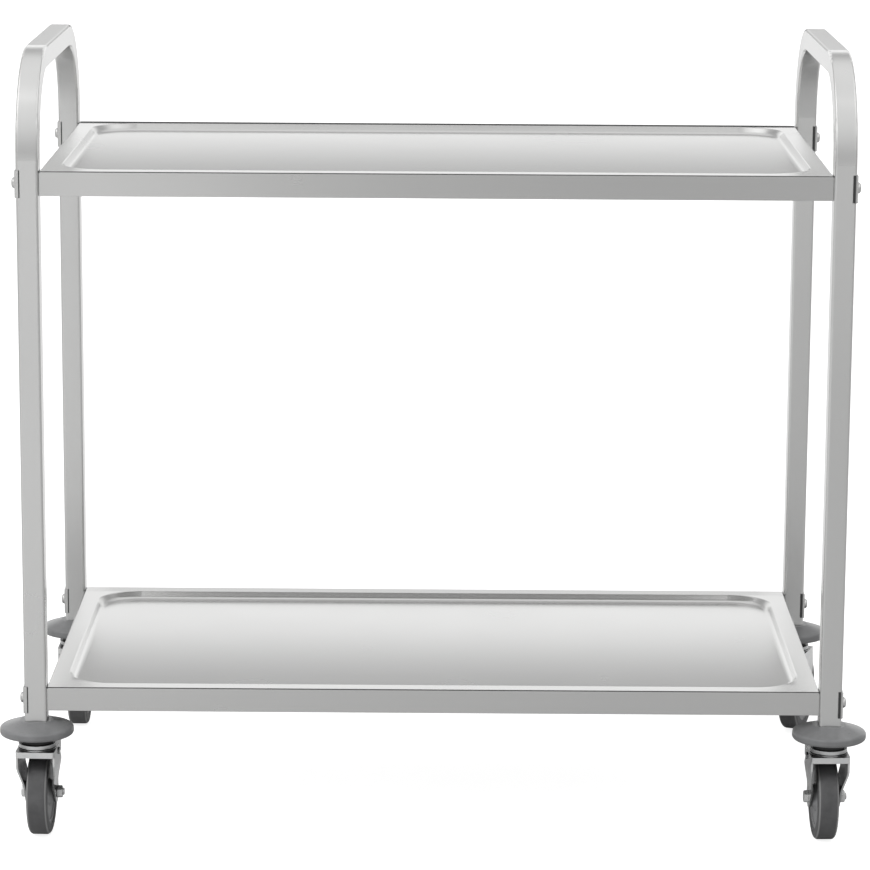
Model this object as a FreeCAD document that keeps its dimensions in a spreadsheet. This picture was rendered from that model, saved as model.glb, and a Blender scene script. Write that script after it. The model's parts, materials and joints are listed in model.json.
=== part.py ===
import FreeCAD, Part
import math
import os
import types
import Sketcher

# A two-tier stainless service cart. Two bent square tubes make the posts and push handles.
# Two pressed trays are bolted between them, and each post stands on a bumper disc and a
# swivel caster. The two front casters have brake pedals.
# Millimetres and degrees. The origin is on the floor, midway between the four posts.
# +X runs along the shelves to the right, +Y runs to the back and +Z is up.

SIZES = {
    # bent tube frames
    "frame_width": 940.0,
    "frame_depth": 488.0,
    "frame_height": 913.0,
    "tube_size": 25.4,
    "tube_wall": 1.2,
    "tube_corner": 3.0,
    "bend_radius": 118.0,
    # tray shelves
    "handle_rise": 130.0,
    "foot_length": 40.0,
    "apron_height": 28.0,
    "apron_setback": 5.5,
    "apron_corner": 1.4,
    "apron_lip": 9.0,
    "shelf_gap": 0.2,
    "sheet": 0.9,
    "rim_width": 20.0,
    "rim_bend": 1.3,
    "recess_depth": 8.0,
    "recess_corner": 52.0,
    "recess_edge": 2.0,
    "recess_wall": 1.2,
    "floor_round": 8.0,
    # channel under each tray floor
    "channel_width": 46.0,
    "channel_height": 14.0,
    "channel_flange": 12.0,
    "channel_sheet": 1.0,
    "channel_inset": 34.0,
    # bolted joints between posts and shelves
    "bolt_size": 6.0,
    "bolt_clearance": 0.3,
    "bolt_head": 12.6,
    "bolt_head_height": 4.6,
    "bolt_dome": 3.2,
    "bolt_socket": 4.0,
    "bolt_socket_depth": 2.2,
    "bolt_tail": 2.0,
    "nut_across": 10.0,
    "nut_height": 5.0,
    "plate_length": 46.0,
    "plate_height": 22.0,
    "plate_sheet": 2.0,
    "plate_edge": 4.5,
    "saddle_height": 31.0,
    "saddle_sheet": 1.2,
    "saddle_wrap": 4.4,
    "saddle_round": 1.0,
    # plug in the foot of each post
    "plug_length": 20.0,
    "plug_clearance": 0.1,
    # bumper discs
    "bumper_diameter": 85.0,
    "bumper_height": 19.0,
    "bumper_rim": 11.0,
    "bumper_land": 38.0,
    "bumper_underside": 64.0,
    "bumper_edge": 3.4,
    # caster stem and swivel bearing
    "stem_size": 12.0,
    "stem_clearance": 0.1,
    "stem_reach": 18.0,
    "neck_diameter": 20.0,
    "neck_height": 7.84,
    "seal_diameter": 36.0,
    "seal_clearance": 0.1,
    "race_diameter": 43.0,
    "race_plate": 2.0,
    "race_lip": 1.8,
    "race_gap": 0.8,
    "race_disc": 1.6,
    "disc_diameter": 44.0,
    "ball_size": 3.5,
    "ball_circle": 33.0,
    "ball_play": 0.03,
    "king_pin": 10.0,
    "king_clearance": 0.05,
    "king_head": 17.0,
    "king_head_height": 2.5,
    "king_head_gap": 0.1,
    # fork
    "trail": 30.0,
    "crown_clearance": 12.0,
    "crown_sheet": 2.3,
    "fork_width": 45.0,
    "fork_foot_width": 36.0,
    "fork_front": 23.0,
    "fork_rear": 22.6,
    "fork_corner": 4.0,
    "skirt_height": 7.0,
    "crown_rear_drop": 5.0,
    "leg_front_drop": 18.0,
    "leg_rear": 38.0,
    "plain_leg_rear": 25.0,
    "leg_rear_drop": 22.0,
    "leg_bend_top": 24.0,
    "leg_bend_foot": 48.0,
    "leg_bend_radius": 45.0,
    "eye_radius": 13.0,
    # axle
    "axle_size": 8.0,
    "axle_clearance": 0.1,
    "axle_across": 13.0,
    "axle_head": 5.3,
    "axle_nut": 6.5,
    "axle_tail": 2.0,
    "hex_chamfer": 1.2,
    "bush_diameter": 12.0,
    # wheels
    "wheel_diameter": 100.0,
    "tyre_width": 24.0,
    "tyre_round": 4.5,
    "tyre_depth": 12.0,
    "hub_rim": 5.0,
    "hub_rim_width": 21.0,
    "hub_web": 18.5,
    "hub_boss": 22.0,
    "hub_clearance": 0.05,
    "hub_side_gap": 0.3,
    # brake pedals on the front casters
    "brake_pin": 5.0,
    "brake_clearance": 0.05,
    "brake_pin_head": 8.4,
    "brake_pin_head_height": 1.5,
    "brake_pin_back": 16.0,
    "brake_pin_drop": 8.2,
    "brake_barrel": 9.0,
    "pedal_width": 38.0,
    "pedal_sheet": 2.2,
    "pedal_top": 4.0,
    "pedal_reach": 58.0,
    "pedal_rise": 6.0,
    "pedal_lip": 7.0,
    "shoe_start": 14.0,
    "shoe_end": 26.0,
    "shoe_drop": 0.3,
    "cheek_start": 28.0,
    "cheek_end": 46.0,
    "cheek_drop": 12.0,
}

ANGLES = {
    # lean of the tray's recess wall from upright
    "recess_angle": 38.0,
    # rest angle of each caster about its post
    "front_left_angle": -2.0,
    "front_right_angle": 2.0,
    "rear_left_angle": 0.0,
    "rear_right_angle": -20.0,
}

BALL_COUNT = 14
HEX_SIDES = 6
HEX_HALF_SIDE = math.pi / HEX_SIDES
FULL_TURN = 360.0
MASK_MARGIN = 12.0
NEAR = 0.01
CORNERS = {
    "front_left": (-1, -1),
    "front_right": (1, -1),
    "rear_left": (-1, 1),
    "rear_right": (1, 1),
}
BRAKED = ("front_left", "front_right")

doc = FreeCAD.newDocument("service_cart")
sheet = doc.addObject("Spreadsheet::Sheet", "dim")
for row, (alias, amount) in enumerate({**SIZES, **ANGLES}.items(), start=1):
    sheet.set(f"A{row}", alias)
    sheet.set(f"B{row}", str(amount))
    sheet.setAlias(f"B{row}", alias)
doc.recompute()


class Size:
    """A size kept both as a number and as the sheet expression that drives it."""

    def __init__(self, number, text):
        self.number = number
        self.text = text

    def __add__(self, other):
        other = as_size(other)
        return Size(self.number + other.number, f"({self.text} + {other.text})")

    def __sub__(self, other):
        other = as_size(other)
        return Size(self.number - other.number, f"({self.text} - {other.text})")

    def __mul__(self, other):
        other = as_size(other)
        return Size(self.number * other.number, f"({self.text} * {other.text})")

    def __truediv__(self, other):
        other = as_size(other)
        return Size(self.number / other.number, f"({self.text} / {other.text})")

    def __rsub__(self, other):
        return as_size(other) - self

    def __neg__(self):
        return self * -1

    __radd__ = __add__
    __rmul__ = __mul__


def as_size(value):
    """The value itself if it is a size, or a plain number as a size."""
    if isinstance(value, Size):
        return value
    return Size(float(value), f"({float(value)})")


def sine(angle):
    return Size(math.sin(math.radians(angle.number)), f"sin({angle.text} * 1 deg)")


def cosine(angle):
    return Size(math.cos(math.radians(angle.number)), f"cos({angle.text} * 1 deg)")


d = types.SimpleNamespace()
for alias in (*SIZES, *ANGLES):
    setattr(d, alias, Size(float(getattr(sheet, alias)), f"{sheet.Name}.{alias}"))

# Places and sizes that several pieces share.
post_x = (d.frame_width - d.tube_size) / 2
post_y = (d.frame_depth - d.tube_size) / 2
shelf_half_x = d.frame_width / 2 - d.tube_size - d.shelf_gap
shelf_half_y = d.frame_depth / 2 - d.apron_setback
shelf_wall_x = shelf_half_x - d.sheet
bolt_hole = d.bolt_size / 2 + d.bolt_clearance
bolt_drop = d.apron_height / 2
recess_half_x = shelf_half_x - d.rim_width
recess_half_y = shelf_half_y - d.rim_width
wheel_radius = d.wheel_diameter / 2
hub_radius = wheel_radius - d.tyre_depth
crown_top = d.wheel_diameter + d.crown_clearance
crown_under = crown_top - d.crown_sheet
skirt_bottom = crown_top - d.skirt_height
disc_top = crown_top + d.race_disc
race_bottom = disc_top + d.ball_size + 2 * d.ball_play
race_top = race_bottom + d.race_plate
bumper_bottom = race_top + d.neck_height
post_bottom = bumper_bottom + d.bumper_height
upper_rim = d.frame_height - d.handle_rise
lower_rim = post_bottom + d.foot_length
leg_inside = d.fork_foot_width / 2 - d.crown_sheet
pin_y = d.brake_pin_back
pin_z = crown_top - d.brake_pin_drop

nodes = []


def keep(piece):
    """Marks a document object as a finished sub-part."""
    nodes.append(piece)
    return piece


def bind(target, name, value):
    target.setExpression(name, as_size(value).text)


def place(piece, x=0.0, y=0.0, z=0.0, turn=0.0):
    """Binds the place of a piece, and its turn about the upright axis."""
    bind(piece, "Placement.Base.x", x)
    bind(piece, "Placement.Base.y", y)
    bind(piece, "Placement.Base.z", z)
    bind(piece, "Placement.Rotation.Angle", turn)


def new_body(label):
    body = doc.addObject("PartDesign::Body", label)
    body.Label = label
    return body


def new_sketch(body, name, role, offset=None):
    """A sketch on one of the body's own origin planes, moved along its normal by offset."""
    sketch = body.newObject("Sketcher::SketchObject", f"{body.Name}_{name}")
    plane = next(feature for feature in body.Origin.OriginFeatures if feature.Role == role)
    sketch.AttachmentSupport = [(plane, "")]
    sketch.MapMode = "FlatFace"
    if offset is not None:
        bind(sketch, "AttachmentOffset.Base.z", offset)
    return sketch


def add_datum(sketch, constraint, value):
    index = sketch.addConstraint(constraint)
    bind(sketch, f"Constraints[{index}]", value)


def fix_point(sketch, curve, vertex, point):
    """Ties one point of a curve to its two sketch coordinates."""
    for kind, value in zip(("DistanceX", "DistanceY"), point):
        value = as_size(value)
        add_datum(sketch, Sketcher.Constraint(kind, -1, 1, curve, vertex, value.number), value)


def as_vector(point):
    return FreeCAD.Vector(as_size(point[0]).number, as_size(point[1]).number, 0)


def add_line(sketch, start, end):
    """A line whose two ends are tied to their coordinates."""
    curve = sketch.addGeometry(Part.LineSegment(as_vector(start), as_vector(end)))
    fix_point(sketch, curve, 1, start)
    fix_point(sketch, curve, 2, end)
    return curve


def add_arc(sketch, centre, radius, first, last, start, end):
    """An arc from angle first to angle last that joins the curve points start and end."""
    circle = Part.Circle(as_vector(centre), FreeCAD.Vector(0, 0, 1), radius.number)
    arc = Part.ArcOfCircle(circle, math.radians(first), math.radians(last))
    curve = sketch.addGeometry(arc)
    sketch.addConstraint(Sketcher.Constraint("Coincident", curve, 1, *start))
    sketch.addConstraint(Sketcher.Constraint("Coincident", curve, 2, *end))
    add_datum(sketch, Sketcher.Constraint("Radius", curve, radius.number), radius)
    return curve


def add_outline(sketch, points):
    """A closed outline of straight lines through the points."""
    count = len(points)
    base = sketch.GeometryCount
    for k in range(count):
        sketch.addGeometry(Part.LineSegment(as_vector(points[k]), as_vector(points[(k + 1) % count])))
    for k in range(count):
        sketch.addConstraint(Sketcher.Constraint("Coincident", base + k, 2, base + (k + 1) % count, 1))
        fix_point(sketch, base + k, 1, points[k])


def add_rectangle(sketch, half_x, half_y):
    add_outline(sketch, [(-half_x, -half_y), (half_x, -half_y), (half_x, half_y), (-half_x, half_y)])


def add_circle(sketch, centre, radius):
    circle = Part.Circle(as_vector(centre), FreeCAD.Vector(0, 0, 1), radius.number)
    curve = sketch.addGeometry(circle)
    fix_point(sketch, curve, 3, centre)
    add_datum(sketch, Sketcher.Constraint("Radius", curve, radius.number), radius)


def add_rounded_rectangle(sketch, half_x, half_y, radius, middle_y=0.0):
    """A rectangle with round corners, centred on the sketch's upright axis at height middle_y."""
    low = middle_y - half_y
    high = middle_y + half_y
    flat_x = half_x - radius
    low_bend = low + radius
    high_bend = high - radius
    bottom = add_line(sketch, (-flat_x, low), (flat_x, low))
    right = add_line(sketch, (half_x, low_bend), (half_x, high_bend))
    top = add_line(sketch, (flat_x, high), (-flat_x, high))
    left = add_line(sketch, (-half_x, high_bend), (-half_x, low_bend))
    add_arc(sketch, (flat_x, low_bend), radius, 270, 360, (bottom, 2), (right, 1))
    add_arc(sketch, (flat_x, high_bend), radius, 0, 90, (right, 2), (top, 1))
    add_arc(sketch, (-flat_x, high_bend), radius, 90, 180, (top, 2), (left, 1))
    add_arc(sketch, (-flat_x, low_bend), radius, 180, 270, (left, 2), (bottom, 1))


def add_hexagon(sketch, across):
    """A hexagon with a flat on each side of the sketch's upright axis."""
    corner = across / 2 / math.cos(HEX_HALF_SIDE)
    angles = [HEX_HALF_SIDE * (2 * k + 1) for k in range(HEX_SIDES)]
    add_outline(sketch, [(corner * math.cos(angle), corner * math.sin(angle)) for angle in angles])


def add_pad(body, name, sketch, length, reverse=False, both_sides=False, taper=None):
    pad = body.newObject("PartDesign::Pad", f"{body.Name}_{name}")
    pad.Profile = sketch
    bind(pad, "Length", length)
    pad.Reversed = reverse
    if both_sides:
        pad.SideType = "Symmetric"
    if taper is not None:
        bind(pad, "TaperAngle", taper)
    return pad


def check_cut(body, volume_before):
    """Stops the build if a cut took nothing away."""
    doc.recompute()
    if body.Shape.Volume > volume_before - NEAR:
        raise RuntimeError(f"{body.Tip.Name} cut nothing")


def add_pocket(body, name, sketch, length=None, reverse=False, taper=None):
    """A pocket of a given length, or right through the body both ways."""
    doc.recompute()
    volume_before = body.Shape.Volume
    pocket = body.newObject("PartDesign::Pocket", f"{body.Name}_{name}")
    pocket.Profile = sketch
    pocket.Reversed = reverse
    if length is None:
        pocket.SideType = "Symmetric"
        pocket.Type = "ThroughAll"
    else:
        bind(pocket, "Length", length)
    if taper is not None:
        bind(pocket, "TaperAngle", taper)
    check_cut(body, volume_before)
    return pocket


def add_turned(body, name, sketch, axis):
    """A solid turned a full turn about the sketch's H_Axis or V_Axis."""
    turned = body.newObject("PartDesign::Revolution", f"{body.Name}_{name}")
    turned.Profile = sketch
    turned.ReferenceAxis = (sketch, [axis])
    turned.Angle = FULL_TURN
    return turned


def add_groove(body, name, sketch, axis):
    doc.recompute()
    volume_before = body.Shape.Volume
    groove = body.newObject("PartDesign::Groove", f"{body.Name}_{name}")
    groove.Profile = sketch
    groove.ReferenceAxis = (sketch, [axis])
    groove.Angle = FULL_TURN
    check_cut(body, volume_before)
    return groove


def round_edges(body, name, radius, test):
    """Rounds the edges of the body that pass the test."""
    doc.recompute()
    base = body.Tip
    edges = [f"Edge{k}" for k, edge in enumerate(base.Shape.Edges, start=1) if test(edge)]
    fillet = body.newObject("PartDesign::Fillet", f"{body.Name}_{name}")
    fillet.Base = (base, edges)
    bind(fillet, "Radius", radius)
    return fillet


def is_upright(edge):
    return edge.BoundBox.ZLength > NEAR and edge.BoundBox.XLength + edge.BoundBox.YLength < NEAR


def at_height(height):
    """A test for edges that lie flat at a height of the body's own frame."""
    level = as_size(height).number

    def lies_there(edge):
        return abs(edge.BoundBox.ZMin - level) < NEAR and abs(edge.BoundBox.ZMax - level) < NEAR

    return lies_there


def ring_at(x=None, z=None, radius=None):
    """A test for whole circles of a radius at a place along the X or the Z axis."""

    def is_ring(edge):
        curve = edge.Curve
        if not isinstance(curve, Part.Circle) or abs(curve.Radius - radius.number) > NEAR:
            return False
        if x is not None:
            return abs(curve.Center.x - as_size(x).number) < NEAR
        return abs(curve.Center.z - as_size(z).number) < NEAR

    return is_ring


def make_group(label, members):
    """Separate equal pieces held as one node."""
    group = doc.addObject("Part::Compound", label)
    group.Label = label
    group.Links = members
    return keep(group)


def make_frame(label, side):
    """One bent tube: two posts and the handle across the top, drilled for the shelf bolts."""
    body = new_body(label)
    bend = d.bend_radius - d.tube_size / 2
    top = d.frame_height - d.tube_size / 2
    path = new_sketch(body, "path", "YZ_Plane")
    front = add_line(path, (-post_y, post_bottom), (-post_y, top - bend))
    handle = add_line(path, (-post_y + bend, top), (post_y - bend, top))
    rear = add_line(path, (post_y, top - bend), (post_y, post_bottom))
    add_arc(path, (-post_y + bend, top - bend), bend, 90, 180, (handle, 1), (front, 2))
    add_arc(path, (post_y - bend, top - bend), bend, 0, 90, (rear, 1), (handle, 2))
    outside = new_sketch(body, "outside", "XY_Plane", post_bottom)
    half = d.tube_size / 2
    add_rounded_rectangle(outside, half, half, d.tube_corner, -post_y)
    tube = body.newObject("PartDesign::AdditivePipe", f"{label}_tube")
    tube.Profile = outside
    tube.Spine = path
    inside = new_sketch(body, "inside", "XY_Plane", post_bottom)
    half_inside = half - d.tube_wall
    add_rounded_rectangle(inside, half_inside, half_inside, d.tube_corner - d.tube_wall, -post_y)
    doc.recompute()
    volume_before = body.Shape.Volume
    bore = body.newObject("PartDesign::SubtractivePipe", f"{label}_bore")
    bore.Profile = inside
    bore.Spine = path
    check_cut(body, volume_before)
    holes = new_sketch(body, "holes", "YZ_Plane")
    for rim in (upper_rim, lower_rim):
        for end in (-1, 1):
            add_circle(holes, (post_y * end, rim - bolt_drop), bolt_hole)
    add_pocket(body, "bolt_holes", holes)
    place(body, x=post_x * side)
    return keep(body)


def make_shelf(label, rim):
    """A pressed tray: flat rim, sloped recess, folded aprons with a lip, and bolt holes in its ends.
    The body's own height is counted from the rim's top face."""
    body = new_body(label)
    plan = new_sketch(body, "plan", "XY_Plane")
    add_rectangle(plan, shelf_half_x, shelf_half_y)
    add_pad(body, "block", plan, d.apron_height, reverse=True)
    round_edges(body, "apron_corners", d.apron_corner, is_upright)
    round_edges(body, "rim_bend", d.rim_bend, at_height(0))
    cavity = new_sketch(body, "cavity", "XY_Plane", d.sheet - d.apron_height)
    add_rounded_rectangle(cavity, shelf_wall_x, shelf_half_y - d.sheet, d.apron_corner - d.sheet)
    add_pocket(body, "hollow", cavity, d.apron_height - 2 * d.sheet, reverse=True)
    round_edges(body, "rim_bend_inside", d.rim_bend - d.sheet, at_height(-d.sheet))
    opening = new_sketch(body, "opening", "XY_Plane", -d.apron_height)
    add_rectangle(opening, shelf_half_x - d.apron_lip, shelf_half_y - d.apron_lip)
    add_pocket(body, "underside", opening, d.sheet, reverse=True)
    dish = new_sketch(body, "dish", "XY_Plane")
    wall = d.recess_wall
    add_rounded_rectangle(dish, recess_half_x + wall, recess_half_y + wall, d.recess_corner + wall)
    under = d.recess_depth + d.sheet
    add_pad(body, "dish_block", dish, under, reverse=True, taper=-d.recess_angle)
    round_edges(body, "dish_edge", d.floor_round + d.sheet, at_height(-under))
    recess = new_sketch(body, "recess", "XY_Plane")
    add_rounded_rectangle(recess, recess_half_x, recess_half_y, d.recess_corner)
    add_pocket(body, "tray", recess, d.recess_depth, taper=-d.recess_angle)
    inner_x = (recess_half_x + NEAR).number
    at_rim = at_height(0)
    round_edges(
        body,
        "recess_edge",
        d.recess_edge,
        lambda edge: at_rim(edge) and edge.BoundBox.XMax < inner_x and edge.BoundBox.XMin > -inner_x
        and max(abs(edge.BoundBox.YMin), abs(edge.BoundBox.YMax)) < (recess_half_y + NEAR).number,
    )
    round_edges(body, "floor_edge", d.floor_round, at_height(-d.recess_depth))
    holes = new_sketch(body, "holes", "YZ_Plane")
    for end in (-1, 1):
        add_circle(holes, (post_y * end, -bolt_drop), bolt_hole)
    add_pocket(body, "bolt_holes", holes)
    place(body, z=rim)
    return keep(body)


def make_channel(label, rim):
    """The hat-shaped stiffening channel under a tray floor."""
    body = new_body(label)
    section = new_sketch(body, "section", "YZ_Plane")
    top = -(d.recess_depth + d.sheet)
    web = d.channel_width / 2
    web_inside = web - d.channel_sheet
    flange_edge = web + d.channel_flange
    flange_under = top - d.channel_sheet
    foot = top - d.channel_height
    right_side = [
        (web_inside, foot + d.channel_sheet),
        (web_inside, top),
        (flange_edge, top),
        (flange_edge, flange_under),
        (web, flange_under),
        (web, foot),
    ]
    left_side = [(-y, z) for y, z in reversed(right_side)]
    add_outline(section, right_side + left_side)
    add_pad(body, "channel", section, 2 * (recess_half_x - d.channel_inset), both_sides=True)
    place(body, z=rim)
    return keep(body)


def make_plate(label, rim, side, end):
    """The doubling plate behind one end of a shelf, which the nut bears on."""
    body = new_body(label)
    outline = new_sketch(body, "outline", "YZ_Plane")
    outer = post_y + d.plate_edge
    inner = outer - d.plate_length
    half = d.plate_height / 2
    points = [(inner, -half), (outer, -half), (outer, half), (inner, half)]
    add_outline(outline, [(y * end, z) for y, z in points])
    add_circle(outline, (post_y * end, 0.0), bolt_hole)
    add_pad(body, "plate", outline, d.plate_sheet, both_sides=True)
    place(body, x=(shelf_wall_x - d.plate_sheet / 2) * side, z=rim - bolt_drop)
    return body


def make_saddle(label, rim, side, end):
    """The thin clip wrapped over the outer face of a post, under the bolt head."""
    body = new_body(label)
    plan = new_sketch(body, "plan", "XY_Plane")
    half = d.tube_size / 2
    outer = half + d.saddle_sheet
    upper_half = [(0.0, half), (-d.saddle_wrap, half), (-d.saddle_wrap, outer), (d.saddle_sheet, outer)]
    lower_half = [(x, -y) for x, y in reversed(upper_half)]
    add_outline(plan, upper_half + lower_half)
    add_pad(body, "clip", plan, d.saddle_height, both_sides=True)
    face = d.saddle_sheet.number
    round_edges(
        body,
        "bends",
        d.saddle_round,
        lambda edge: is_upright(edge) and abs(edge.BoundBox.XMin - face) < NEAR,
    )
    hole = new_sketch(body, "hole", "YZ_Plane")
    add_circle(hole, (0.0, 0.0), bolt_hole)
    add_pocket(body, "bolt_hole", hole)
    place_at_post(body, d.frame_width / 2, rim, side, end)
    return body


def place_at_post(piece, out, rim, side, end):
    """Puts a piece at a shelf joint, a distance out from the middle, facing away from it."""
    place(piece, x=out * side, y=post_y * end, z=rim - bolt_drop, turn=90.0 * (1 - side))


def make_shelf_bolt(label, rim, side, end):
    """A bolt with a domed socket head. Its own X axis points out of the head."""
    body = new_body(label)
    grip = d.saddle_sheet + d.tube_size + d.shelf_gap + d.sheet + d.plate_sheet
    tail = -(grip + d.nut_height + d.bolt_tail)
    shank = d.bolt_size / 2
    head = d.bolt_head / 2
    head_face = d.bolt_head_height
    profile = new_sketch(body, "profile", "XY_Plane")
    add_outline(
        profile,
        [(tail, 0.0), (head_face, 0.0), (head_face, head), (0.0, head), (0.0, shank), (tail, shank)],
    )
    add_turned(body, "turned", profile, "H_Axis")
    round_edges(body, "dome", d.bolt_dome, ring_at(x=head_face, radius=head))
    socket = new_sketch(body, "socket", "YZ_Plane", head_face)
    add_hexagon(socket, d.bolt_socket)
    add_pocket(body, "socket_cut", socket, d.bolt_socket_depth)
    place_at_post(body, d.frame_width / 2 + d.saddle_sheet, rim, side, end)
    return body


def cut_hex_corners(body, name, across, face, inward):
    """Turns the corners off a hexagon at one of its faces."""
    sketch = new_sketch(body, name, "XY_Plane")
    flat = across / 2
    beyond = flat / math.cos(HEX_HALF_SIDE) + d.hex_chamfer
    slope = (beyond - flat) * math.tan(HEX_HALF_SIDE)
    add_outline(sketch, [(face, flat), (face, beyond), (face + slope * inward, beyond)])
    add_groove(body, f"{name}_cut", sketch, "H_Axis")


def make_hex_nut(label, across, height, hole):
    """A hexagon nut centred on its own origin, with its hole along X."""
    body = new_body(label)
    outline = new_sketch(body, "outline", "YZ_Plane")
    add_hexagon(outline, across)
    add_circle(outline, (0.0, 0.0), hole)
    add_pad(body, "nut", outline, height, both_sides=True)
    cut_hex_corners(body, "near_corners", across, height / 2, -1)
    cut_hex_corners(body, "far_corners", across, -height / 2, 1)
    return body


def make_shelf_nut(label, rim, side, end):
    body = make_hex_nut(label, d.nut_across, d.nut_height, bolt_hole)
    out = shelf_wall_x - d.plate_sheet - d.nut_height / 2
    place_at_post(body, out, rim, side, end)
    return body


def make_plug(label, side, end):
    """The square plug in a post's foot that takes the caster's stem."""
    body = new_body(label)
    plan = new_sketch(body, "plan", "XY_Plane")
    half = d.tube_size / 2 - d.tube_wall - d.plug_clearance
    add_rounded_rectangle(plan, half, half, d.tube_corner - d.tube_wall)
    add_circle(plan, (0.0, 0.0), d.stem_size / 2 + d.stem_clearance)
    add_pad(body, "plug", plan, d.plug_length)
    place(body, x=post_x * side, y=post_y * end, z=post_bottom)
    return body


def make_seal(label, side, end):
    """The soft ring that keeps dust out of a swivel, round the stem's neck under the bumper."""
    body = new_body(label)
    plan = new_sketch(body, "plan", "XY_Plane")
    add_circle(plan, (0.0, 0.0), d.seal_diameter / 2)
    add_circle(plan, (0.0, 0.0), d.neck_diameter / 2 + d.seal_clearance)
    add_pad(body, "ring", plan, d.neck_height)
    place(body, x=post_x * side, y=post_y * end, z=race_top)
    return body


def place_on_caster(piece, corner, back=0.0, height=0.0):
    """Puts a piece behind a caster's swivel axis, at a height, turned as the caster is."""
    side, end = CORNERS[corner]
    turn = getattr(d, f"{corner}_angle")
    back = as_size(back)
    place(
        piece,
        x=post_x * side - back * sine(turn),
        y=post_y * end + back * cosine(turn),
        z=height,
        turn=turn,
    )


def make_bumper(corner):
    """A soft disc with a rounded rim, whose top rises gently to the foot of the post."""
    body = new_body(f"{corner}_bumper")
    profile = new_sketch(body, "profile", "XZ_Plane")
    bore = d.stem_size / 2 + d.stem_clearance
    rim = d.bumper_diameter / 2
    add_outline(
        profile,
        [
            (bore, 0.0),
            (d.bumper_underside / 2, 0.0),
            (rim, d.bumper_rim / 4),
            (rim, d.bumper_rim),
            (d.bumper_land / 2, d.bumper_height),
            (bore, d.bumper_height),
        ],
    )
    add_turned(body, "disc", profile, "V_Axis")
    round_edges(body, "upper_edge", d.bumper_edge, ring_at(z=d.bumper_rim, radius=rim))
    round_edges(body, "lower_edge", d.bumper_edge, ring_at(z=d.bumper_rim / 4, radius=rim))
    place_on_caster(body, corner, height=bumper_bottom)
    return keep(body)


def make_stem(corner):
    """The stem, the upper ball race with its lip, and the king pin with its riveted head."""
    body = new_body(f"{corner}_stem")
    profile = new_sketch(body, "profile", "XZ_Plane")
    pin = d.king_pin / 2
    head = d.king_head / 2
    head_top = crown_under - d.king_head_gap
    race = d.race_diameter / 2
    lip_bottom = disc_top + d.race_gap
    lip_inside = race - d.race_lip
    neck = d.neck_diameter / 2
    stem = d.stem_size / 2
    stem_top = post_bottom + d.stem_reach
    add_outline(
        profile,
        [
            (0.0, head_top - d.king_head_height),
            (head, head_top - d.king_head_height),
            (head, head_top),
            (pin, head_top),
            (pin, race_bottom),
            (lip_inside, race_bottom),
            (lip_inside, lip_bottom),
            (race, lip_bottom),
            (race, race_top),
            (neck, race_top),
            (neck, bumper_bottom),
            (stem, bumper_bottom),
            (stem, stem_top),
            (0.0, stem_top),
        ],
    )
    add_turned(body, "turned", profile, "V_Axis")
    round_edges(body, "race_edge", d.race_lip / 2, ring_at(z=race_top, radius=race))
    place_on_caster(body, corner)
    return keep(body)


def make_balls(corner):
    """The ring of balls between the upper race and the fork."""
    members = []
    reach = d.ball_circle / 2
    middle = disc_top + d.ball_play + d.ball_size / 2
    for k in range(BALL_COUNT):
        angle = 2 * math.pi * k / BALL_COUNT
        ball = doc.addObject("Part::Sphere", f"{corner}_ball_{k + 1}")
        bind(ball, "Radius", d.ball_size / 2)
        place(ball, x=reach * math.cos(angle), y=reach * math.sin(angle), z=middle)
        members.append(ball)
    group = make_group(f"{corner}_balls", members)
    place_on_caster(group, corner)


def touch_angle(point, centre, radius, side):
    """The angle round a circle at which a line from the point touches it."""
    reach = as_vector(point) - as_vector(centre)
    return math.atan2(reach.y, reach.x) + side * math.acos(radius.number / reach.Length)


def add_fork_side(sketch, leg_rear):
    """The fork seen from the side, inside a larger rectangle: what lies between is cut away."""
    reach = d.trail + d.eye_radius + MASK_MARGIN
    top = crown_top + MASK_MARGIN
    low = wheel_radius - d.eye_radius - MASK_MARGIN
    high = top + MASK_MARGIN
    add_outline(sketch, [(-reach, low), (reach, low), (reach, high), (-reach, high)])
    eye = (d.trail, wheel_radius)
    front = d.fork_corner - d.fork_front
    corners = [
        (leg_rear, crown_top - d.leg_rear_drop),
        (d.fork_rear, crown_top - d.crown_rear_drop),
        (d.fork_rear, top),
        (front, top),
        (front, crown_top - d.leg_front_drop),
    ]
    first = touch_angle(corners[-1], eye, d.eye_radius, 1)
    last = touch_angle(corners[0], eye, d.eye_radius, -1) + 2 * math.pi
    circle = Part.Circle(as_vector(eye), FreeCAD.Vector(0, 0, 1), d.eye_radius.number)
    arc = Part.ArcOfCircle(circle, first, last)
    eye_arc = sketch.addGeometry(arc)
    fix_point(sketch, eye_arc, 3, eye)
    add_datum(sketch, Sketcher.Constraint("Radius", eye_arc, d.eye_radius.number), d.eye_radius)
    rear_leg = sketch.addGeometry(Part.LineSegment(arc.EndPoint, as_vector(corners[0])))
    sketch.addConstraint(Sketcher.Constraint("Tangent", eye_arc, 2, rear_leg, 1))
    previous = rear_leg
    for start, end in zip(corners, corners[1:]):
        line = sketch.addGeometry(Part.LineSegment(as_vector(start), as_vector(end)))
        sketch.addConstraint(Sketcher.Constraint("Coincident", previous, 2, line, 1))
        fix_point(sketch, line, 1, start)
        previous = line
    front_leg = sketch.addGeometry(Part.LineSegment(as_vector(corners[-1]), arc.StartPoint))
    sketch.addConstraint(Sketcher.Constraint("Coincident", previous, 2, front_leg, 1))
    fix_point(sketch, front_leg, 1, corners[-1])
    sketch.addConstraint(Sketcher.Constraint("Tangent", front_leg, 2, eye_arc, 1))


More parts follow.
